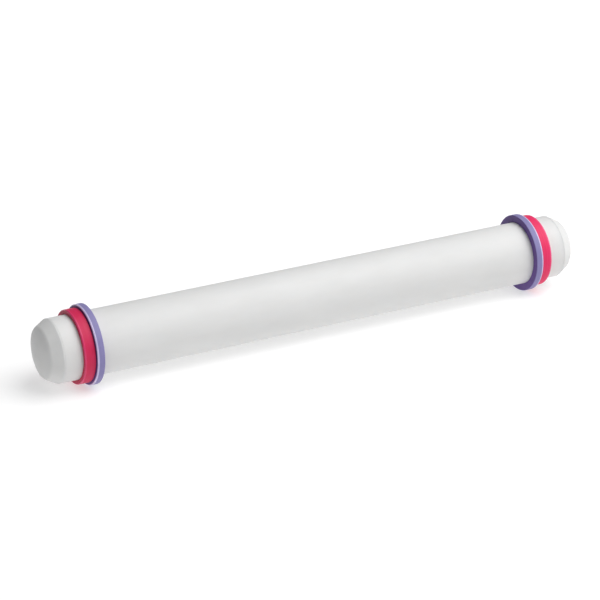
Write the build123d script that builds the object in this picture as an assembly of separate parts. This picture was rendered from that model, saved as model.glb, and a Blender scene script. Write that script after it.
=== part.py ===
from build123d import *
import os

# A small hand roller for icing and dough, with two pairs of slip-on thickness rings.
# A plain plastic tube is closed at each end by a domed plug pressed into its bore. Each end of
# the tube carries two rings that slide along it: a tall narrow one, and outboard of it a low
# wide one. The rings roll on the worktop and hold the tube that far above it.
# Millimetres. Origin at the middle of the roller, +X along its axis to the right-hand end, +Z up.

# Tube
TUBE_LENGTH = 221.0
TUBE_OUTER_RADIUS = 12.7
TUBE_WALL = 3.0
TUBE_EDGE_RADIUS = 0.1
BORE_LEAD_IN = 0.5

# End plug: the head outside the tube
HEAD_LAND = 0.5
HEAD_CONE_LENGTH = 4.4
HEAD_CONE_DROP = 2.5
HEAD_CROWN_RISE = 2.1
HEAD_RIM_BREAK = 0.08
SHOULDER_RADIUS = 0.7
CROWN_CORNER_RADIUS = 2.4

# End plug: the hollow spigot inside the tube
SPIGOT_LENGTH = 14.0
SPIGOT_WALL = 2.0
SPIGOT_CLEARANCE = 0.1
SPIGOT_TIP_CHAMFER = 0.6
HEAD_SKIN = 2.8
CORE_CORNER_RADIUS = 1.2

# Crush ribs along the spigot, which bite into the bore
RIB_COUNT = 8
RIB_WIDTH = 1.0
RIB_BITE = 0.04
RIB_ROOT = 0.6
RIB_TIP_GAP = 1.5

# Thickness rings
RING_RUNNING_CLEARANCE = 0.08
RING_OUTER_EDGE_RADIUS = 0.4
RING_BORE_EDGE_RADIUS = 0.2
THICK_RING_HEIGHT = 3.1
THICK_RING_WIDTH = 3.1
THIN_RING_HEIGHT = 1.9
THIN_RING_WIDTH = 4.6
RING_GAP = 0.1
BARE_TUBE_END = 7.1

# Sizes and places that follow from those
tube_bore_radius = TUBE_OUTER_RADIUS - TUBE_WALL
tube_end = TUBE_LENGTH / 2
head_length = HEAD_LAND + HEAD_CONE_LENGTH + HEAD_CROWN_RISE
crown_edge_radius = TUBE_OUTER_RADIUS - HEAD_CONE_DROP
spigot_radius = tube_bore_radius - SPIGOT_CLEARANCE
core_radius = spigot_radius - SPIGOT_WALL
core_floor = head_length - HEAD_SKIN
thin_ring_inboard_face = tube_end - BARE_TUBE_END - THIN_RING_WIDTH
thick_ring_inboard_face = thin_ring_inboard_face - RING_GAP - THICK_RING_WIDTH


def corners_at(face, places):
    """The face's corners at the given (x, radius) places."""
    return [min(face.vertices(), key=lambda v: abs(v.X - x) + abs(v.Y - r)) for x, r in places]


def revolved(face):
    """A section drawn as (x along the axis, radius), turned about the roller's axis."""
    return revolve(face, axis=Axis.X, revolution_arc=360)


def roller_tube():
    """The straight tube, with its outer edges broken and a lead-in at each mouth of its bore."""
    middle_radius = (TUBE_OUTER_RADIUS + tube_bore_radius) / 2
    section = Pos(0, middle_radius) * Rectangle(TUBE_LENGTH, TUBE_WALL)
    outer = corners_at(section, [(-tube_end, TUBE_OUTER_RADIUS), (tube_end, TUBE_OUTER_RADIUS)])
    section = fillet(outer, TUBE_EDGE_RADIUS)
    mouths = corners_at(section, [(-tube_end, tube_bore_radius), (tube_end, tube_bore_radius)])
    section = chamfer(mouths, BORE_LEAD_IN)
    return revolved(section)


def plug_section():
    """Half the plug's section, with the seat against the tube's end at x = 0, head towards +x."""
    shoulder = (HEAD_LAND, TUBE_OUTER_RADIUS)
    crown_edge = (HEAD_LAND + HEAD_CONE_LENGTH, crown_edge_radius)
    crown_sphere = (crown_edge_radius**2 + HEAD_CROWN_RISE**2) / (2 * HEAD_CROWN_RISE)
    inner_outline = Polyline(
        (head_length, 0),
        (core_floor, 0),
        (core_floor, core_radius),
        (-SPIGOT_LENGTH, core_radius),
        (-SPIGOT_LENGTH, spigot_radius),
        (0, spigot_radius),
        (0, TUBE_OUTER_RADIUS),
        shoulder,
        crown_edge,
    )
    crown = RadiusArc(crown_edge, (head_length, 0), crown_sphere)
    section = make_face([inner_outline, crown])
    section = fillet(corners_at(section, [crown_edge]), CROWN_CORNER_RADIUS)
    section = fillet(corners_at(section, [shoulder]), SHOULDER_RADIUS)
    section = fillet(corners_at(section, [(core_floor, core_radius)]), CORE_CORNER_RADIUS)
    section = chamfer(corners_at(section, [(0, TUBE_OUTER_RADIUS)]), HEAD_RIM_BREAK)
    return chamfer(corners_at(section, [(-SPIGOT_LENGTH, spigot_radius)]), SPIGOT_TIP_CHAMFER)


def crush_ribs():
    """Low ribs along the outside of the spigot, a little larger than the bore."""
    rib_length = SPIGOT_LENGTH - RIB_TIP_GAP - BORE_LEAD_IN
    rib_middle = -BORE_LEAD_IN - rib_length / 2
    rib_outer = tube_bore_radius + RIB_BITE
    rib_depth = RIB_ROOT + SPIGOT_CLEARANCE + RIB_BITE
    rib = Pos(rib_middle, 0, rib_outer - rib_depth / 2) * Box(rib_length, RIB_WIDTH, rib_depth)
    ribs = [rib.rotate(Axis.X, 360 * i / RIB_COUNT) for i in range(RIB_COUNT)]
    outside = Rot(0, 90, 0) * Cylinder(rib_outer, 2 * SPIGOT_LENGTH)
    return [outside & each for each in ribs]


def end_plug():
    """One domed plug in place at the right-hand end of the tube."""
    plug = revolved(plug_section()) + crush_ribs()
    return Pos(tube_end, 0, 0) * plug


def guide_ring(inboard_face, height, width):
    """One thickness ring in place near the right-hand end, standing height above the tube."""
    bore_radius = TUBE_OUTER_RADIUS + RING_RUNNING_CLEARANCE
    outer_radius = TUBE_OUTER_RADIUS + height
    outboard_face = inboard_face + width
    section = Pos((inboard_face + outboard_face) / 2, (bore_radius + outer_radius) / 2) * Rectangle(
        width, outer_radius - bore_radius
    )
    outer = corners_at(section, [(inboard_face, outer_radius), (outboard_face, outer_radius)])
    section = fillet(outer, RING_OUTER_EDGE_RADIUS)
    bore = corners_at(section, [(inboard_face, bore_radius), (outboard_face, bore_radius)])
    section = fillet(bore, RING_BORE_EDGE_RADIUS)
    return revolved(section)


def to_left_end(shape):
    """The same piece at the other end, turned end for end about Z."""
    return shape.rotate(Axis.Z, 180)


right_end_pieces = {
    "end_plug": end_plug(),
    "thick_guide_ring": guide_ring(thick_ring_inboard_face, THICK_RING_HEIGHT, THICK_RING_WIDTH),
    "thin_guide_ring": guide_ring(thin_ring_inboard_face, THIN_RING_HEIGHT, THIN_RING_WIDTH),
}

os.makedirs("parts", exist_ok=True)
export_step(roller_tube(), "parts/roller_tube.step")
for name, shape in right_end_pieces.items():
    export_step(shape, f"parts/right_{name}.step")
    export_step(to_left_end(shape), f"parts/left_{name}.step")
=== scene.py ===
import math

import bpy
from mathutils import Matrix, Vector


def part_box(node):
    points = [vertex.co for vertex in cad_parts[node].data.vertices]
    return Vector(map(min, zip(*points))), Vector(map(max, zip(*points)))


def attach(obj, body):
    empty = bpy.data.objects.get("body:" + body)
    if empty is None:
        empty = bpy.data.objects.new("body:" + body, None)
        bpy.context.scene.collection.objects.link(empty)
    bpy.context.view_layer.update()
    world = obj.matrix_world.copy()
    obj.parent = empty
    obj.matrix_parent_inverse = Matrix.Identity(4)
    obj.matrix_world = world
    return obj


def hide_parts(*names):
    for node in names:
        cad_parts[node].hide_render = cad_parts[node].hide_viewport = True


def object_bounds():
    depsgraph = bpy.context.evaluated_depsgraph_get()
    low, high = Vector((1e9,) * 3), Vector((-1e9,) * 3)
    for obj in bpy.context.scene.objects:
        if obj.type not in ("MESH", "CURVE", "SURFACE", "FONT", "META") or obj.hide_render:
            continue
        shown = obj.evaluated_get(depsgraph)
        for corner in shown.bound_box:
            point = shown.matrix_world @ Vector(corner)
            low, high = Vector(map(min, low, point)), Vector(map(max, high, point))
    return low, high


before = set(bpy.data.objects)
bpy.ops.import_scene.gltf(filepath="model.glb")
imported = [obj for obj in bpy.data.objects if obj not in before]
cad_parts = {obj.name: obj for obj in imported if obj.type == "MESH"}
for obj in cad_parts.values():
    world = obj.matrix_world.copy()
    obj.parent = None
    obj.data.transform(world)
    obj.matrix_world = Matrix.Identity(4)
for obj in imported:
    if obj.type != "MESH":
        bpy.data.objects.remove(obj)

cad_low, cad_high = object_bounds()

# ------------------------------------------------------------------------------ Roller tube
# The real piece is a straight length of white high-density polyethylene tube, extruded and cut
# square to length. Its cut ends are lightly broken, and its bore is chamfered to take the plugs.

MM = 0.001
FINEST = 1e-6    # metres; anything smaller counts as nothing

TUBE_WALL = 3.0 * MM
TUBE_EDGE_RADIUS = 0.10 * MM
BORE_LEAD_IN = 0.5 * MM
BORE_LEAD_IN_EDGE = 0.08 * MM
TUBE_STEPS_ROUND = 256

TUBE_WHITE = "#DCDCDB"
TUBE_HANDLED_WHITE = "#D7D7D6"
DIE_LINE_SPACING = 1.4 * MM
DIE_LINE_DEPTH = 0.022 * MM
DIE_LINE_STRETCH = 0.012
TUBE_GRAIN = 0.5 * MM
TUBE_GRAIN_DEPTH = 0.008 * MM
HANDLED_PATCH = 11 * MM
HANDLED_PATCH_STRETCH = 0.35

POLYETHYLENE_IOR = 1.54
POLYETHYLENE_GLOSS = 0.28
POLYETHYLENE_SMOOTHEST = 0.50
POLYETHYLENE_ROUGHEST = 0.60
POLYETHYLENE_DEPTH_SHARE = 0.25
POLYETHYLENE_DEPTH = 2.0 * MM
POLYETHYLENE_DEPTH_BY_COLOUR = (1.0, 0.9, 0.8)

# Most of a noise pattern's values lie between these two, so they are taken as its least and most.
NOISE_LOW = 0.3
NOISE_HIGH = 0.7

tube_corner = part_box("roller_tube")[1]
tube_end = tube_corner.x
tube_radius = tube_corner.z
bore_radius = tube_radius - TUBE_WALL


def linear(hex_colour):
    """An sRGB hex colour as linear red, green, blue and full alpha."""
    parts = [int(hex_colour[i:i + 2], 16) / 255 for i in (1, 3, 5)]
    return [p / 12.92 if p <= 0.04045 else ((p + 0.055) / 1.055) ** 2.4 for p in parts] + [1.0]


def add_node(tree, kind, inputs=None, **settings):
    """Adds a node with its settings and links.

    Each input is a value, the socket that feeds it, or a node whose first output does.
    """
    made = tree.nodes.new(kind)
    for name, value in settings.items():
        setattr(made, name, value)
    for name, source in (inputs or {}).items():
        if isinstance(source, bpy.types.Node):
            source = source.outputs[0]
        if isinstance(source, bpy.types.NodeSocket):
            tree.links.new(source, made.inputs[name])
        else:
            made.inputs[name].default_value = source
    return made


def rounded_outline(corners, closed=True, steps=8, guard=0.06 * MM, longest=4.0 * MM):
    """Points (along, radius) through corners of (along, radius, rounding).

    A rounding is a true arc. A guard point just off each end of it keeps the flats' shading
    flat, and long straight runs are divided.
    """
    points = []
    for i, (along, radius, rounding) in enumerate(corners):
        corner = Vector((along, radius))
        if rounding == 0 or (not closed and i in (0, len(corners) - 1)):
            points.append(corner)
            continue
        back = (Vector(corners[i - 1][:2]) - corner).normalized()
        ahead = (Vector(corners[(i + 1) % len(corners)][:2]) - corner).normalized()
        opening = back.angle(ahead)
        cut = rounding / math.tan(opening / 2)
        centre = corner + (back + ahead).normalized() * rounding / math.sin(opening / 2)
        start = (corner + back * cut - centre).normalized()
        stop = (corner + ahead * cut - centre).normalized()
        points.append(corner + back * (cut + guard))
        points += [centre + start.slerp(stop, k / steps) * rounding for k in range(steps + 1)]
        points.append(corner + ahead * (cut + guard))
    divided = []
    for i, here in enumerate(points):
        divided.append(here)
        if closed or i + 1 < len(points):
            there = points[(i + 1) % len(points)]
            pieces = math.ceil((there - here).length / longest - FINEST)
            divided += [here.lerp(there, k / pieces) for k in range(1, pieces)]
    return divided


def turning_tree():
    """Geometry Nodes that turn an outline, drawn as x along the axis and y outwards, about X.

    A grid has one row for each point of the outline and one column for each step round. Each of
    its points goes to its row's place in the outline, turned by its column's share of a circle.
    """
    tree = bpy.data.node_groups.new("turned_about_x", "GeometryNodeTree")
    tree.interface.new_socket("Outline", in_out="INPUT", socket_type="NodeSocketGeometry")
    tree.interface.new_socket("Closed Outline", in_out="INPUT", socket_type="NodeSocketInt")
    tree.interface.new_socket("Steps Round", in_out="INPUT", socket_type="NodeSocketInt")
    tree.interface.new_socket("Material", in_out="INPUT", socket_type="NodeSocketMaterial")
    tree.interface.new_socket("Geometry", in_out="OUTPUT", socket_type="NodeSocketGeometry")
    given = add_node(tree, "NodeGroupInput").outputs
    count = add_node(
        tree, "GeometryNodeAttributeDomainSize", {0: given["Outline"]}, component="MESH"
    ).outputs["Point Count"]
    rows = add_node(
        tree, "ShaderNodeMath", {0: count, 1: given["Closed Outline"]}, operation="ADD"
    )
    columns = add_node(tree, "ShaderNodeMath", {0: given["Steps Round"], 1: 1.0}, operation="ADD")
    grid = add_node(
        tree, "GeometryNodeMeshGrid",
        {"Size X": 1.0, "Size Y": 1.0, "Vertices X": columns, "Vertices Y": rows},
    )
    place = add_node(tree, "GeometryNodeInputPosition")
    share = add_node(
        tree, "ShaderNodeVectorMath", {0: place, 1: (0.5, 0.5, 0.0)}, operation="ADD"
    )
    split = add_node(tree, "ShaderNodeSeparateXYZ", {0: share}).outputs
    last_row = add_node(tree, "ShaderNodeMath", {0: rows, 1: 1.0}, operation="SUBTRACT")
    row = add_node(tree, "ShaderNodeMath", {0: split["Y"], 1: last_row}, operation="MULTIPLY")
    nearest_row = add_node(tree, "ShaderNodeMath", {0: row}, operation="ROUND")
    outline_point = add_node(
        tree, "ShaderNodeMath", {0: nearest_row, 1: count}, operation="MODULO"
    )
    angle = add_node(tree, "ShaderNodeMath", {0: split["X"], 1: math.tau}, operation="MULTIPLY")
    in_outline = add_node(
        tree, "GeometryNodeSampleIndex",
        {"Geometry": given["Outline"], "Value": place, "Index": outline_point},
        data_type="FLOAT_VECTOR", domain="POINT",
    )
    turned_point = add_node(
        tree, "ShaderNodeVectorRotate", {"Vector": in_outline, "Angle": angle},
        rotation_type="X_AXIS",
    )
    placed = add_node(
        tree, "GeometryNodeSetPosition", {"Geometry": grid, "Position": turned_point}
    )
    sewn = add_node(
        tree, "GeometryNodeMergeByDistance", {"Geometry": placed, "Distance": FINEST}
    )
    smooth = add_node(tree, "GeometryNodeSetShadeSmooth", {0: sewn})
    real = add_node(tree, "GeometryNodeRealizeInstances", {0: smooth})
    coloured = add_node(
        tree, "GeometryNodeSetMaterial", {"Geometry": real, "Material": given["Material"]}
    )
    add_node(tree, "NodeGroupOutput", {0: coloured})
    return tree


def run_tree(tree, mesh, name, **values):
    """Runs a Geometry Nodes tree on a mesh and keeps the result as a plain mesh object."""
    piece = bpy.data.objects.new(name, mesh)
    bpy.context.scene.collection.objects.link(piece)
    modifier = piece.modifiers.new(tree.name, "NODES")
    modifier.node_group = tree
    for socket in tree.interface.items_tree:
        key = socket.name.replace(" ", "_").lower()
        if key in values:
            modifier[socket.identifier] = values[key]
    depsgraph = bpy.context.evaluated_depsgraph_get()
    made = bpy.data.meshes.new_from_object(piece.evaluated_get(depsgraph))
    piece.modifiers.remove(modifier)
    piece.data = made
    made.name = name
    while made.materials[0] is None:
        made.materials.pop(index=0)
    return piece


def turned(name, outline, closed, steps_round, material):
    """A solid of revolution about X from its outline, as a piece with its material."""
    chain = bpy.data.meshes.new(name + "_outline")
    chain.from_pydata([(p.x, p.y, 0.0) for p in outline], [], [])
    return run_tree(
        turning, chain, name,
        closed_outline=int(closed), steps_round=steps_round, material=material,
    )


def new_material(name):
    """An empty material and its node tree."""
    material = bpy.data.materials.new(name)
    material.use_nodes = True
    material.node_tree.nodes.clear()
    return material, material.node_tree


def extruded_polyethylene():
    """White HDPE as it leaves the die: satin, a little translucent, drawn into faint long lines.

    Die lines are some 0.2 mm apart, and are drawn 1.4 mm apart so that they show. The skin's
    grain is near 0.1 mm and is drawn at 0.5 mm. Pastry and hands buff the tube in long patches,
    so it shines a little unevenly.
    """
    material, tree = new_material("extruded_white_polyethylene")
    where = add_node(tree, "ShaderNodeTexCoord").outputs["Object"]
    along = add_node(
        tree, "ShaderNodeMapping", {"Vector": where, "Scale": (DIE_LINE_STRETCH, 1.0, 1.0)}
    )
    die_lines = add_node(
        tree, "ShaderNodeTexNoise",
        {"Vector": along, "Scale": 1 / DIE_LINE_SPACING, "Detail": 3.0, "Roughness": 0.5},
    )
    patches = add_node(
        tree, "ShaderNodeMapping", {"Vector": where, "Scale": (HANDLED_PATCH_STRETCH, 1.0, 1.0)}
    )
    handling = add_node(
        tree, "ShaderNodeTexNoise",
        {"Vector": patches, "Scale": 1 / HANDLED_PATCH, "Detail": 4.0, "Roughness": 0.6},
    )
    grain = add_node(
        tree, "ShaderNodeTexNoise",
        {"Vector": where, "Scale": 1 / TUBE_GRAIN, "Detail": 2.0, "Roughness": 0.5},
    )
    lined = add_node(
        tree, "ShaderNodeBump",
        {"Height": die_lines, "Distance": DIE_LINE_DEPTH, "Strength": 1.0},
    )
    bumped = add_node(
        tree, "ShaderNodeBump",
        {"Height": grain, "Distance": TUBE_GRAIN_DEPTH, "Strength": 1.0, "Normal": lined},
    )
    tint = add_node(
        tree, "ShaderNodeMapRange",
        {"Value": handling, "From Min": NOISE_LOW, "From Max": NOISE_HIGH},
    )
    colour = add_node(
        tree, "ShaderNodeMix",
        {"Factor": tint, "A": linear(TUBE_WHITE), "B": linear(TUBE_HANDLED_WHITE)},
        data_type="RGBA",
    )
    rubbed = add_node(
        tree, "ShaderNodeMapRange",
        {"Value": handling, "From Min": NOISE_LOW, "From Max": NOISE_HIGH,
         "To Min": POLYETHYLENE_SMOOTHEST, "To Max": POLYETHYLENE_ROUGHEST},
    )
    surface = add_node(
        tree, "ShaderNodeBsdfPrincipled",
        {
            "Base Color": colour.outputs["Result"],
            "Roughness": rubbed,
            "Normal": bumped,
            "IOR": POLYETHYLENE_IOR,
            "Specular IOR Level": POLYETHYLENE_GLOSS,
            "Subsurface Weight": POLYETHYLENE_DEPTH_SHARE,
            "Subsurface Scale": POLYETHYLENE_DEPTH,
            "Subsurface Radius": POLYETHYLENE_DEPTH_BY_COLOUR,
        },
    )
    add_node(tree, "ShaderNodeOutputMaterial", {"Surface": surface})
    return material


turning = turning_tree()

tube = turned(
    "white_roller_tube",
    rounded_outline([
        (-tube_end, tube_radius, TUBE_EDGE_RADIUS),
        (tube_end, tube_radius, TUBE_EDGE_RADIUS),
        (tube_end, bore_radius + BORE_LEAD_IN, BORE_LEAD_IN_EDGE),
        (tube_end - BORE_LEAD_IN, bore_radius, BORE_LEAD_IN_EDGE),
        (BORE_LEAD_IN - tube_end, bore_radius, BORE_LEAD_IN_EDGE),
        (-tube_end, bore_radius + BORE_LEAD_IN, BORE_LEAD_IN_EDGE),
    ]),
    True, TUBE_STEPS_ROUND, extruded_polyethylene(),
)
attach(tube, "roller")
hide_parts("roller_tube")

# ------------------------------------------------------------------------------- End plugs
# Each end is closed by a plug moulded in the same white polyethylene. Its domed head carries on
# the tube's surface, and its hollow spigot has crush ribs that hold it in the bore for good.

HEAD_LAND = 0.5 * MM
HEAD_CONE_LENGTH = 4.4 * MM
HEAD_CONE_DROP = 2.5 * MM
HEAD_RIM_BREAK = 0.08 * MM
SHOULDER_RADIUS = 0.7 * MM
CROWN_CORNER_RADIUS = 2.4 * MM
SPIGOT_LENGTH = 14.0 * MM
SPIGOT_WALL = 2.0 * MM
SPIGOT_CLEARANCE = 0.1 * MM
SPIGOT_TIP_ROUNDING = 0.5 * MM
HEAD_SKIN = 2.8 * MM
CORE_CORNER_RADIUS = 1.2 * MM
INNER_EDGE_RADIUS = 0.15 * MM
GATE_DIMPLE_RADIUS = 1.3 * MM
GATE_DIMPLE_DEPTH = 0.12 * MM
RIB_COUNT = 8
RIB_WIDTH = 1.0 * MM
RIB_HEIGHT = 0.14 * MM
RIB_TIP_GAP = 1.5 * MM
RIB_FOOT = 0.5
RIB_BROW = 0.3
CROWN_STEPS = 40
CORNER_STEPS = 12
PLUG_STEPS_ROUND = 288

PLUG_WHITE = "#DADAD9"
PLUG_HANDLED_WHITE = "#D5D5D4"
PLUG_GRAIN = 0.45 * MM
PLUG_GRAIN_DEPTH = 0.024 * MM
PLUG_RUBBED_PATCH = 7 * MM

head_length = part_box("right_end_plug")[1].x - tube_end
spigot_radius = bore_radius - SPIGOT_CLEARANCE


def crown_outline():
    """The head from its pole to the cone: a shallow spherical crown, a rounded corner, the cone.

    The corner's arc is tangent to both. Its centre lies one corner radius inside the cone's line
    and one corner radius inside the crown's sphere.
    """
    cone_start = Vector((HEAD_LAND, tube_radius))
    cone_stop = Vector((HEAD_LAND + HEAD_CONE_LENGTH, tube_radius - HEAD_CONE_DROP))
    rise = head_length - cone_stop.x
    sphere = (cone_stop.y ** 2 + rise ** 2) / (2 * rise)
    sphere_centre = Vector((head_length - sphere, 0.0))
    down_cone = (cone_stop - cone_start).normalized()
    outwards = Vector((-down_cone.y, down_cone.x))
    inset = cone_start - outwards * CROWN_CORNER_RADIUS - sphere_centre
    reach = inset.dot(down_cone)
    run = -reach + math.sqrt(
        reach ** 2 - inset.length_squared + (sphere - CROWN_CORNER_RADIUS) ** 2
    )
    corner_centre = sphere_centre + inset + down_cone * run
    to_crown = (corner_centre - sphere_centre).normalized()
    crown_stop = math.atan2(to_crown.y, to_crown.x)
    crown = []
    for k in range(CROWN_STEPS):
        angle = crown_stop * k / CROWN_STEPS
        radius = sphere * math.sin(angle)
        dimple = 0.5 + 0.5 * math.cos(math.pi * min(1.0, radius / GATE_DIMPLE_RADIUS))
        along = sphere_centre.x + sphere * math.cos(angle) - GATE_DIMPLE_DEPTH * dimple
        crown.append(Vector((along, radius)))
    corner = [
        corner_centre + to_crown.slerp(outwards, k / CORNER_STEPS) * CROWN_CORNER_RADIUS
        for k in range(CORNER_STEPS + 1)
    ]
    return crown + corner


def plug_outline():
    """The whole plug from its core floor, round its spigot and rim, to the middle of its crown."""
    crown = crown_outline()
    core_radius = spigot_radius - SPIGOT_WALL
    core_floor = head_length - HEAD_SKIN
    rest = rounded_outline([
        (crown[-1].x, crown[-1].y, 0),
        (HEAD_LAND, tube_radius, SHOULDER_RADIUS),
        (0, tube_radius, HEAD_RIM_BREAK),
        (0, spigot_radius, INNER_EDGE_RADIUS),
        (-SPIGOT_LENGTH, spigot_radius, SPIGOT_TIP_ROUNDING),
        (-SPIGOT_LENGTH, core_radius, INNER_EDGE_RADIUS),
        (core_floor, core_radius, CORE_CORNER_RADIUS),
        (core_floor, 0, 0),
    ], closed=False, longest=1.0 * MM)
    return [Vector((tube_end + p.x, p.y)) for p in reversed(crown + rest[1:])]


def crush_rib_tree():
    """Geometry Nodes that raise evenly spaced ribs on a turned wall.

    Measured round the wall, a rib has its whole height from its middle out to its brow, and eases
    to nothing at its foot. Brow and foot are given as shares of its width.
    """
    tree = bpy.data.node_groups.new("crush_ribs", "GeometryNodeTree")
    tree.interface.new_socket("Geometry", in_out="INPUT", socket_type="NodeSocketGeometry")
    for name in ("Count", "Width", "Height", "Wall Radius", "Start", "Stop"):
        tree.interface.new_socket(name, in_out="INPUT", socket_type="NodeSocketFloat")
    tree.interface.new_socket("Material", in_out="INPUT", socket_type="NodeSocketMaterial")
    tree.interface.new_socket("Geometry", in_out="OUTPUT", socket_type="NodeSocketGeometry")
    given = add_node(tree, "NodeGroupInput").outputs
    place = add_node(tree, "GeometryNodeInputPosition")
    at = add_node(tree, "ShaderNodeSeparateXYZ", {0: place}).outputs
    outward = add_node(tree, "ShaderNodeCombineXYZ", {"Y": at["Y"], "Z": at["Z"]})
    radius = add_node(
        tree, "ShaderNodeVectorMath", {0: outward}, operation="LENGTH"
    ).outputs["Value"]
    angle = add_node(tree, "ShaderNodeMath", {0: at["Z"], 1: at["Y"]}, operation="ARCTAN2")
    turn = add_node(tree, "ShaderNodeMath", {0: angle, 1: math.tau}, operation="DIVIDE")
    pitches = add_node(
        tree, "ShaderNodeMath", {0: turn, 1: given["Count"]}, operation="MULTIPLY"
    )
    off_rib = add_node(tree, "ShaderNodeMath", {0: pitches, 1: 0.5}, operation="PINGPONG")
    girth = add_node(tree, "ShaderNodeMath", {0: radius, 1: math.tau}, operation="MULTIPLY")
    pitch = add_node(tree, "ShaderNodeMath", {0: girth, 1: given["Count"]}, operation="DIVIDE")
    off_middle = add_node(tree, "ShaderNodeMath", {0: off_rib, 1: pitch}, operation="MULTIPLY")
    foot = add_node(
        tree, "ShaderNodeMath", {0: given["Width"], 1: RIB_FOOT}, operation="MULTIPLY"
    )
    brow = add_node(
        tree, "ShaderNodeMath", {0: given["Width"], 1: RIB_BROW}, operation="MULTIPLY"
    )
    crest = add_node(
        tree, "ShaderNodeMapRange",
        {"Value": off_middle, "From Min": foot, "From Max": brow, "To Min": 0.0,
         "To Max": given["Height"]},
        interpolation_type="SMOOTHSTEP",
    )
    on_wall = add_node(
        tree, "ShaderNodeMath", {0: radius, 1: given["Wall Radius"], 2: FINEST},
        operation="COMPARE",
    )
    past_start = add_node(
        tree, "ShaderNodeMath", {0: at["X"], 1: given["Start"]}, operation="GREATER_THAN"
    )
    before_stop = add_node(
        tree, "ShaderNodeMath", {0: at["X"], 1: given["Stop"]}, operation="LESS_THAN"
    )
    in_span = add_node(
        tree, "ShaderNodeMath", {0: past_start, 1: before_stop}, operation="MULTIPLY"
    )
    in_reach = add_node(tree, "ShaderNodeMath", {0: in_span, 1: on_wall}, operation="MULTIPLY")
    lift = add_node(tree, "ShaderNodeMath", {0: crest, 1: in_reach}, operation="MULTIPLY")
    direction = add_node(tree, "ShaderNodeVectorMath", {0: outward}, operation="NORMALIZE")
    offset = add_node(
        tree, "ShaderNodeVectorMath", {0: direction, "Scale": lift}, operation="SCALE"
    )
    moved = add_node(
        tree, "GeometryNodeSetPosition", {"Geometry": given["Geometry"], "Offset": offset}
    )
    real = add_node(tree, "GeometryNodeRealizeInstances", {0: moved})
    coloured = add_node(
        tree, "GeometryNodeSetMaterial", {"Geometry": real, "Material": given["Material"]}
    )
    add_node(tree, "NodeGroupOutput", {0: coloured})
    return tree


def moulded_polyethylene():
    """White HDPE from a spark-eroded mould: a fine even matt grain, smoother where hands rub it.

    The grain is near 0.1 mm and is drawn at 0.45 mm. It is rubbed smoother in soft patches.
    """
    material, tree = new_material("moulded_white_polyethylene")
    where = add_node(tree, "ShaderNodeTexCoord").outputs["Object"]
    grain = add_node(
        tree, "ShaderNodeTexNoise",
        {"Vector": where, "Scale": 1 / PLUG_GRAIN, "Detail": 3.0, "Roughness": 0.5},
    )
    handling = add_node(
        tree, "ShaderNodeTexNoise",
        {"Vector": where, "Scale": 1 / PLUG_RUBBED_PATCH, "Detail": 3.0, "Roughness": 0.5},
    )
    bumped = add_node(
        tree, "ShaderNodeBump", {"Height": grain, "Distance": PLUG_GRAIN_DEPTH, "Strength": 1.0}
    )
    tint = add_node(
        tree, "ShaderNodeMapRange",
        {"Value": handling, "From Min": NOISE_LOW, "From Max": NOISE_HIGH},
    )
    colour = add_node(
        tree, "ShaderNodeMix",
        {"Factor": tint, "A": linear(PLUG_WHITE), "B": linear(PLUG_HANDLED_WHITE)},
        data_type="RGBA",
    )
    rubbed = add_node(
        tree, "ShaderNodeMapRange",
        {"Value": handling, "From Min": NOISE_LOW, "From Max": NOISE_HIGH,
         "To Min": POLYETHYLENE_SMOOTHEST, "To Max": POLYETHYLENE_ROUGHEST},
    )
    surface = add_node(
        tree, "ShaderNodeBsdfPrincipled",
        {
            "Base Color": colour.outputs["Result"],
            "Roughness": rubbed,
            "Normal": bumped,
            "IOR": POLYETHYLENE_IOR,
            "Specular IOR Level": POLYETHYLENE_GLOSS,
            "Subsurface Weight": POLYETHYLENE_DEPTH_SHARE,
            "Subsurface Scale": POLYETHYLENE_DEPTH,
            "Subsurface Radius": POLYETHYLENE_DEPTH_BY_COLOUR,
        },
    )
    add_node(tree, "ShaderNodeOutputMaterial", {"Surface": surface})
    return material


def other_end(piece, name):
    """A copy of a right-hand piece, turned end for end about Z to be the left-hand one."""
    mesh = piece.data.copy()
    mesh.name = name
    mesh.transform(Matrix.Rotation(math.pi, 4, "Z"))
    copied = bpy.data.objects.new(name, mesh)
    bpy.context.scene.collection.objects.link(copied)
    return copied


plug_plastic = moulded_polyethylene()
plain_plug = turned(
    "plug_without_ribs", plug_outline(), False, PLUG_STEPS_ROUND, plug_plastic
)
right_plug = run_tree(
    crush_rib_tree(), plain_plug.data, "right_domed_end_plug",
    count=float(RIB_COUNT), width=RIB_WIDTH, height=RIB_HEIGHT, wall_radius=spigot_radius,
    start=tube_end - SPIGOT_LENGTH + RIB_TIP_GAP, stop=tube_end - BORE_LEAD_IN,
    material=plug_plastic,
)
bpy.data.objects.remove(plain_plug)
left_plug = other_end(right_plug, "left_domed_end_plug")
for side, plug in (("right", right_plug), ("left", left_plug)):
    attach(plug, "roller")
    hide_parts(side + "_end_plug")

# ------------------------------------------------------------------------- Thick guide rings
# The inboard ring of each pair is a square-section ring of lavender silicone rubber, compression
# moulded. It stretches over the end of the tube and grips it, and rolls on the worktop.

RING_CLEARANCE = 0.08 * MM
RING_OUTER_EDGE_RADIUS = 0.4 * MM
RING_BORE_EDGE_RADIUS = 0.2 * MM
RING_STEPS_ROUND = 288
FLASH_WIDTH = 0.16 * MM
FLASH_HEIGHT = 0.03 * MM

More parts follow.
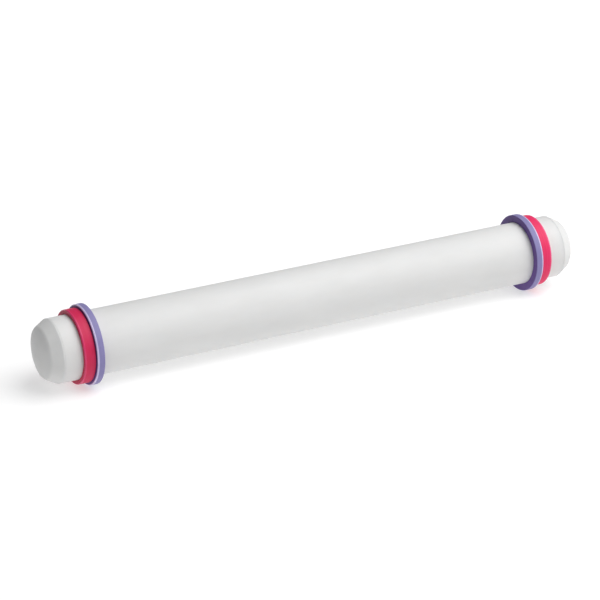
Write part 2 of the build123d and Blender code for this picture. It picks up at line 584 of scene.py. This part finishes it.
RUBBER_IOR = 1.41
RUBBER_GLOSS = 0.5
RUBBER_BLOOM_SHEEN = 0.03
RUBBER_BLOOM_SHEEN_SPREAD = 0.4
RUBBER_SMOOTHEST = 0.52
RUBBER_ROUGHEST = 0.62
RUBBER_GRAIN = 0.4 * MM
RUBBER_GRAIN_DEPTH = 0.04 * MM
BLOOM_BLOTCH = 5 * MM
# The outboard edge: smoother from wear, and paler, partly from wear and partly a painted
# highlight.
EDGE_WEAR_AND_HIGHLIGHT_WIDTH = 0.5 * MM
EDGE_WEAR_AND_HIGHLIGHT_FADE = 0.25 * MM
EDGE_WEAR_AND_HIGHLIGHT_HEIGHT = 0.3 * MM
EDGE_WEAR_AND_HIGHLIGHT_HEIGHT_FADE = 0.2 * MM
RUBBED_EDGE_ROUGHNESS = 0.26
EDGE_WEAR_AND_HIGHLIGHT_LEAST = 0.65
EDGE_WEAR_AND_HIGHLIGHT_NOISE_LOW = 0.35
EDGE_WEAR_AND_HIGHLIGHT_NOISE_HIGH = 0.65

# How squarely a surface faces along the axis where it starts to be, and wholly is, a ring's side.
# The sides take a darker colour, painted shade.
SIDE_STARTS = 0.6
SIDE_WHOLLY = 0.95


def ring_outline(cad_node):
    """A guide ring's section, from its CAD node's box, with the mould's fine flash line."""
    low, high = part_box(cad_node)
    outer = high.z - FLASH_HEIGHT
    bore = tube_radius + RING_CLEARANCE
    middle = (low.x + high.x) / 2
    return rounded_outline([
        (low.x, outer, RING_OUTER_EDGE_RADIUS),
        (middle - FLASH_WIDTH, outer, 0),
        (middle, outer + FLASH_HEIGHT, 0),
        (middle + FLASH_WIDTH, outer, 0),
        (high.x, outer, RING_OUTER_EDGE_RADIUS),
        (high.x, bore, RING_BORE_EDGE_RADIUS),
        (low.x, bore, RING_BORE_EDGE_RADIUS),
    ], longest=0.4 * MM)


def silicone(name, cad_node, band_colour, bloom_colour, side_colour_with_painted_shade, edge_wear_and_highlight_colour):
    """Compression-moulded silicone rubber: matt, soft-looking, faintly mottled by its pigment.

    The sides take a darker colour than the band that rolls on the worktop, which is painted shade.
    The outboard edge is paler and smoother: pulling the ring off and on wears it smooth and
    somewhat pale, and the rest of its paleness is a painted highlight. The mould's blasted grain
    is near 0.08 mm and is drawn at 0.4 mm. The bloom lies in blotches some 5 mm across.
    """
    material, tree = new_material(name)
    low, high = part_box(cad_node)
    outboard_face = max(-low.x, high.x)
    coordinates = add_node(tree, "ShaderNodeTexCoord").outputs
    where = coordinates["Object"]
    grain = add_node(
        tree, "ShaderNodeTexNoise",
        {"Vector": where, "Scale": 1 / RUBBER_GRAIN, "Detail": 3.0, "Roughness": 0.5},
    )
    bloom = add_node(
        tree, "ShaderNodeTexNoise",
        {"Vector": where, "Scale": 1 / BLOOM_BLOTCH, "Detail": 4.0, "Roughness": 0.6},
    )
    bumped = add_node(
        tree, "ShaderNodeBump",
        {"Height": grain, "Distance": RUBBER_GRAIN_DEPTH, "Strength": 1.0},
    )
    tint = add_node(
        tree, "ShaderNodeMapRange",
        {"Value": bloom, "From Min": NOISE_LOW, "From Max": NOISE_HIGH},
    )
    band = add_node(
        tree, "ShaderNodeMix",
        {"Factor": tint, "A": linear(band_colour), "B": linear(bloom_colour)},
        data_type="RGBA",
    )
    # Painted shade: faces that look along the axis take the darker side colour.
    facing = add_node(tree, "ShaderNodeSeparateXYZ", {0: coordinates["Normal"]}).outputs["X"]
    sideways = add_node(tree, "ShaderNodeMath", {0: facing}, operation="ABSOLUTE")
    side_shade_share = add_node(
        tree, "ShaderNodeMapRange",
        {"Value": sideways, "From Min": SIDE_STARTS, "From Max": SIDE_WHOLLY},
        interpolation_type="SMOOTHSTEP",
    )
    body = add_node(
        tree, "ShaderNodeMix",
        {"Factor": side_shade_share, "A": band.outputs["Result"], "B": linear(side_colour_with_painted_shade)},
        data_type="RGBA",
    )
    at = add_node(tree, "ShaderNodeSeparateXYZ", {0: where}).outputs
    outwards = add_node(tree, "ShaderNodeMath", {0: at["X"]}, operation="ABSOLUTE")
    spoke = add_node(tree, "ShaderNodeCombineXYZ", {"Y": at["Y"], "Z": at["Z"]})
    radius = add_node(
        tree, "ShaderNodeVectorMath", {0: spoke}, operation="LENGTH"
    ).outputs["Value"]
    near_face = add_node(
        tree, "ShaderNodeMapRange",
        {"Value": outwards,
         "From Min": outboard_face - EDGE_WEAR_AND_HIGHLIGHT_WIDTH - EDGE_WEAR_AND_HIGHLIGHT_FADE,
         "From Max": outboard_face - EDGE_WEAR_AND_HIGHLIGHT_WIDTH},
        interpolation_type="SMOOTHSTEP",
    )
    near_rim = add_node(
        tree, "ShaderNodeMapRange",
        {"Value": radius,
         "From Min": high.z - EDGE_WEAR_AND_HIGHLIGHT_HEIGHT - EDGE_WEAR_AND_HIGHLIGHT_HEIGHT_FADE,
         "From Max": high.z - EDGE_WEAR_AND_HIGHLIGHT_HEIGHT},
        interpolation_type="SMOOTHSTEP",
    )
    corner = add_node(
        tree, "ShaderNodeMath", {0: near_face, 1: near_rim}, operation="MULTIPLY"
    )
    # The pale outboard edge, uneven round the ring: partly wear, partly a painted highlight.
    rub = add_node(
        tree, "ShaderNodeMapRange",
        {"Value": bloom, "From Min": EDGE_WEAR_AND_HIGHLIGHT_NOISE_LOW,
         "From Max": EDGE_WEAR_AND_HIGHLIGHT_NOISE_HIGH, "To Min": EDGE_WEAR_AND_HIGHLIGHT_LEAST},
    )
    edge = add_node(tree, "ShaderNodeMath", {0: corner, 1: rub}, operation="MULTIPLY")
    colour = add_node(
        tree, "ShaderNodeMix",
        {"Factor": edge, "A": body.outputs["Result"], "B": linear(edge_wear_and_highlight_colour)},
        data_type="RGBA",
    )
    chalky = add_node(
        tree, "ShaderNodeMapRange",
        {"Value": bloom, "From Min": NOISE_LOW, "From Max": NOISE_HIGH,
         "To Min": RUBBER_SMOOTHEST, "To Max": RUBBER_ROUGHEST},
    )
    smoothed = add_node(
        tree, "ShaderNodeMix", {"Factor": corner, "A": chalky, "B": RUBBED_EDGE_ROUGHNESS},
        data_type="FLOAT",
    )
    surface = add_node(
        tree, "ShaderNodeBsdfPrincipled",
        {
            "Base Color": colour.outputs["Result"],
            "Roughness": smoothed,
            "Normal": bumped,
            "IOR": RUBBER_IOR,
            "Specular IOR Level": RUBBER_GLOSS,
            "Sheen Weight": RUBBER_BLOOM_SHEEN,
            "Sheen Roughness": RUBBER_BLOOM_SHEEN_SPREAD,
        },
    )
    add_node(tree, "ShaderNodeOutputMaterial", {"Surface": surface})
    return material


# The side colour is painted shade. The pale edge colour is partly wear and partly a painted
# highlight.
lavender = silicone(
    "moulded_lavender_silicone", "right_thick_guide_ring",
    band_colour="#817AAB", bloom_colour="#8882B1", side_colour_with_painted_shade="#64498E", edge_wear_and_highlight_colour="#D4CAEB",
)
right_thick = turned(
    "right_thick_ring", ring_outline("right_thick_guide_ring"), True, RING_STEPS_ROUND, lavender
)
left_thick = other_end(right_thick, "left_thick_ring")
for side, ring in (("right", right_thick), ("left", left_thick)):
    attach(ring, side + "_thick_ring")
    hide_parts(side + "_thick_guide_ring")

# -------------------------------------------------------------------------- Thin guide rings
# The outboard ring of each pair is lower and wider, in pink silicone rubber moulded the same way.
# Left on alone, it sets the thinner sheet. The left-hand one takes a darker copy of the pink:
# painted shade.

# The side colour is painted shade. The pale edge colour is partly wear and partly a painted
# highlight.
pink = silicone(
    "moulded_pink_silicone", "right_thin_guide_ring",
    band_colour="#DF2158", bloom_colour="#E22C64", side_colour_with_painted_shade="#CE164C", edge_wear_and_highlight_colour="#E9568A",
)
# Painted shade: a darker copy of the pink, edge included, for the left-hand thin ring.
pink_with_painted_shade = silicone(
    "moulded_deep_pink_silicone", "left_thin_guide_ring",
    band_colour="#C8154A", bloom_colour="#CC1F55", side_colour_with_painted_shade="#BE1145", edge_wear_and_highlight_colour="#D93A6E",
)
right_thin = turned(
    "right_thin_ring", ring_outline("right_thin_guide_ring"), True, RING_STEPS_ROUND, pink
)
left_thin = other_end(right_thin, "left_thin_ring")
# The left-hand thin ring takes the darker copy, painted shade.
left_thin.data.materials[0] = pink_with_painted_shade
for side, ring in (("right", right_thin), ("left", left_thin)):
    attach(ring, side + "_thin_ring")
    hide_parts(side + "_thin_guide_ring")

# ------------------------------------------------------------------------------------- Floor
# The tall rings stand on a studio light table: a plain sheet of white opal acrylic, cast and then
# rubbed matt. Its glow is light painted into its own surface as emission, with no lamp beneath
# it. It is level with the lowest point of the tall rings.

FLOOR_HALF = 4.0
FLOOR_WHITE = "#C4C4C4"
FLOOR_HAZE_WHITE = "#C2C2C2"
HAZE_CLOUD = 60 * MM
# The floor's own painted-in glow, weaker near the middle and full towards the edges.
GLOW_MIDDLE = 0.53
GLOW_EDGE = 1.0
GLOW_RISE_START = 0.25
GLOW_RISE_STOP = 1.0


def opal_acrylic():
    """Cast opal acrylic with a rubbed face: white, quite matt, with a barely visible haze.

    Its surface glows by itself, as painted-in light with no lamp beneath, dimmer in its middle
    than at its edges, so the roller keeps a soft shadow and the far floor is plain white. The haze
    lies in clouds some 60 mm across.
    """
    material, tree = new_material("cast_opal_acrylic")
    where = add_node(tree, "ShaderNodeTexCoord").outputs["Object"]
    haze = add_node(
        tree, "ShaderNodeTexNoise",
        {"Vector": where, "Scale": 1 / HAZE_CLOUD, "Detail": 4.0, "Roughness": 0.5},
    )
    clouds = add_node(
        tree, "ShaderNodeMapRange",
        {"Value": haze, "From Min": NOISE_LOW, "From Max": NOISE_HIGH},
    )
    colour = add_node(
        tree, "ShaderNodeMix",
        {"Factor": clouds, "A": linear(FLOOR_WHITE), "B": linear(FLOOR_HAZE_WHITE)},
        data_type="RGBA",
    )
    from_middle = add_node(
        tree, "ShaderNodeVectorMath", {0: where}, operation="LENGTH"
    ).outputs["Value"]
    glow = add_node(
        tree, "ShaderNodeMapRange",
        {"Value": from_middle, "From Min": GLOW_RISE_START, "From Max": GLOW_RISE_STOP,
         "To Min": GLOW_MIDDLE, "To Max": GLOW_EDGE},
    )
    surface = add_node(
        tree, "ShaderNodeBsdfPrincipled",
        {
            "Base Color": colour.outputs["Result"],
            "Roughness": 0.9,
            "IOR": 1.49,
            "Specular IOR Level": 0.2,
            "Emission Color": linear("#FFFFFF"),
            "Emission Strength": glow,
        },
    )
    add_node(tree, "ShaderNodeOutputMaterial", {"Surface": surface})
    return material


floor_mesh = bpy.data.meshes.new("floor")
floor_mesh.from_pydata(
    [(x * FLOOR_HALF, y * FLOOR_HALF, cad_low.z) for x, y in ((-1, -1), (1, -1), (1, 1), (-1, 1))],
    [], [(0, 1, 2, 3)],
)
floor_mesh.materials.append(opal_acrylic())
floor = bpy.data.objects.new("floor", floor_mesh)
bpy.context.scene.collection.objects.link(floor)

# ------------------------------------------------------------------------- Light and camera
# One big soft panel hangs in front of the right-hand end and above it, in a dim room with a white
# backdrop. The camera is a long lens that looks down on the roller from past its left-hand end.

PANEL_PLACE = Vector((0.66, -0.44, 1.32))
PANEL_SIZE = 1.7
PANEL_POWER = 34
ROOM_FILL = 0.17

LENS = 161.36
CAMERA_AZIMUTH = math.radians(-27.47)
CAMERA_ELEVATION = math.radians(24.01)
CAMERA_DISTANCE = 1.0657
AIM_RIGHT = -4.36 * MM
AIM_UP = -1.41 * MM

light = bpy.data.lights.new("soft_panel", "AREA")
light.size = PANEL_SIZE
light.energy = PANEL_POWER
panel = bpy.data.objects.new("soft_panel", light)
panel.location = PANEL_PLACE
panel.rotation_euler = (-PANEL_PLACE).to_track_quat("-Z", "Y").to_euler()
bpy.context.scene.collection.objects.link(panel)

room = bpy.data.worlds.new("dim_room_with_white_backdrop")
room.use_nodes = True
room.node_tree.nodes.clear()
fill = add_node(
    room.node_tree, "ShaderNodeBackground", {"Color": linear("#F4F6FA"), "Strength": ROOM_FILL}
)
backdrop = add_node(
    room.node_tree, "ShaderNodeBackground", {"Color": linear("#FFFFFF"), "Strength": 1.0}
)
seen = add_node(room.node_tree, "ShaderNodeLightPath").outputs["Is Camera Ray"]
walls = add_node(room.node_tree, "ShaderNodeMixShader", {0: seen, 1: fill, 2: backdrop})
add_node(room.node_tree, "ShaderNodeOutputWorld", {"Surface": walls})
bpy.context.scene.world = room
bpy.context.scene.view_settings.view_transform = "Standard"

away = Vector((
    math.sin(CAMERA_AZIMUTH) * math.cos(CAMERA_ELEVATION),
    -math.cos(CAMERA_AZIMUTH) * math.cos(CAMERA_ELEVATION),
    math.sin(CAMERA_ELEVATION),
))
facing = (-away).to_track_quat("-Z", "Y")
aim = facing @ Vector((AIM_RIGHT, AIM_UP, 0.0))
lens = bpy.data.cameras.new("camera")
lens.lens = LENS
camera = bpy.data.objects.new("camera", lens)
camera.location = aim + away * CAMERA_DISTANCE
camera.rotation_euler = facing.to_euler()
bpy.context.scene.collection.objects.link(camera)
bpy.context.scene.camera = camera
